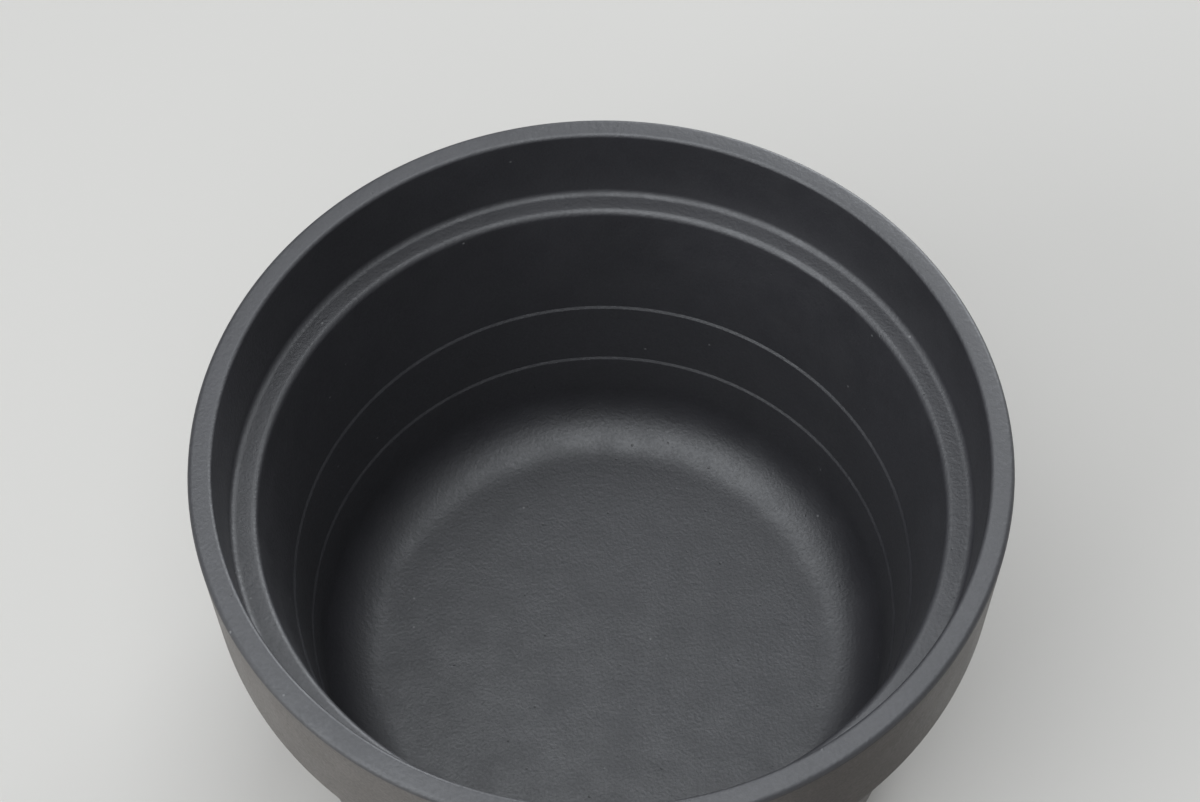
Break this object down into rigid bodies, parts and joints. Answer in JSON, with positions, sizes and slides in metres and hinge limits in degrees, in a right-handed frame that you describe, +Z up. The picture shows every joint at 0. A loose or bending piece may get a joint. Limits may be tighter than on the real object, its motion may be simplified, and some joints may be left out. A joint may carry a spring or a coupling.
{
  "type": "rice pot",
  "caption": "Round cast iron rice pot with an upright collar, a recessed lid ledge and fill lines inside, and a domed drop-in lid with a knob set down beside it.",
  "frame": {"origin": "middle of the pot's flat base, on the surface that the pot and its lid stand on", "axes": "+Z up along the pot's axis, -Y towards the viewer, +X to the viewer's right; the lid lies in front and to the right"},
  "size_m": [0.2841, 0.2975, 0.105],
  "materials": {
    "pot_iron": "matt charcoal coating with a fine pebbled grain",
    "lid_iron": "matt charcoal coating with a fine pebbled grain",
    "knob_resin": "satin black moulding",
    "insert_brass": "turned",
    "fixing_steel": "plain stainless"
  },
  "bodies": {
    "pot": {"pot_body": "pot_iron"},
    "lid": {"lid": "lid_iron", "lid_knob": "knob_resin", "knob_insert": "insert_brass", "knob_screw": "fixing_steel", "knob_washer": "fixing_steel"}
  },
  "joints": [
    {"name": "lid_lift", "type": "slide", "parent": "pot", "child": "lid", "axis": [0, 0, 1], "range_m": [0, 0.125]}
  ]
}
